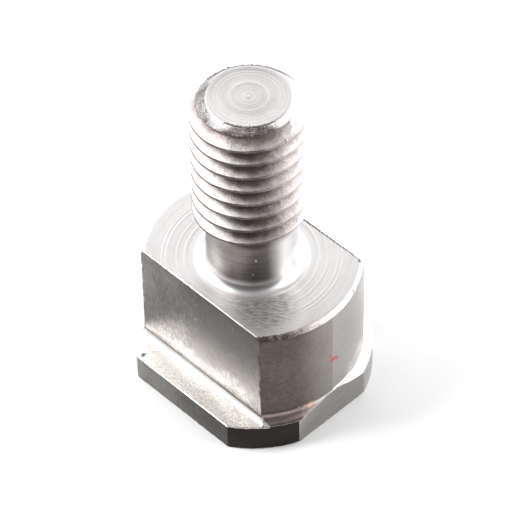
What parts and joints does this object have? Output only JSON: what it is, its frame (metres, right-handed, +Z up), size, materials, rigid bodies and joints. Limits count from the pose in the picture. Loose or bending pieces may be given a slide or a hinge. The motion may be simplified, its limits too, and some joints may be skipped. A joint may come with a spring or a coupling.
{
  "type": "t-head screw",
  "caption": "Turned and milled stainless steel T-head screw: a flatted round body on a thin head plate, an undercut neck and a right-hand metric thread with a chamfered tip.",
  "frame": {"origin": "middle of the underside of the head plate, on the screw's axis", "axes": "+Z up the screw's axis towards the tip, the two flats of the body facing -Y and +Y, the end flats of the head facing -X and +X"},
  "size_m": [0.0154, 0.014, 0.0259],
  "materials": {
    "stainless_steel": "turned and milled, bare"
  },
  "bodies": {
    "root": {"screw": "stainless_steel"}
  },
  "joints": []
}
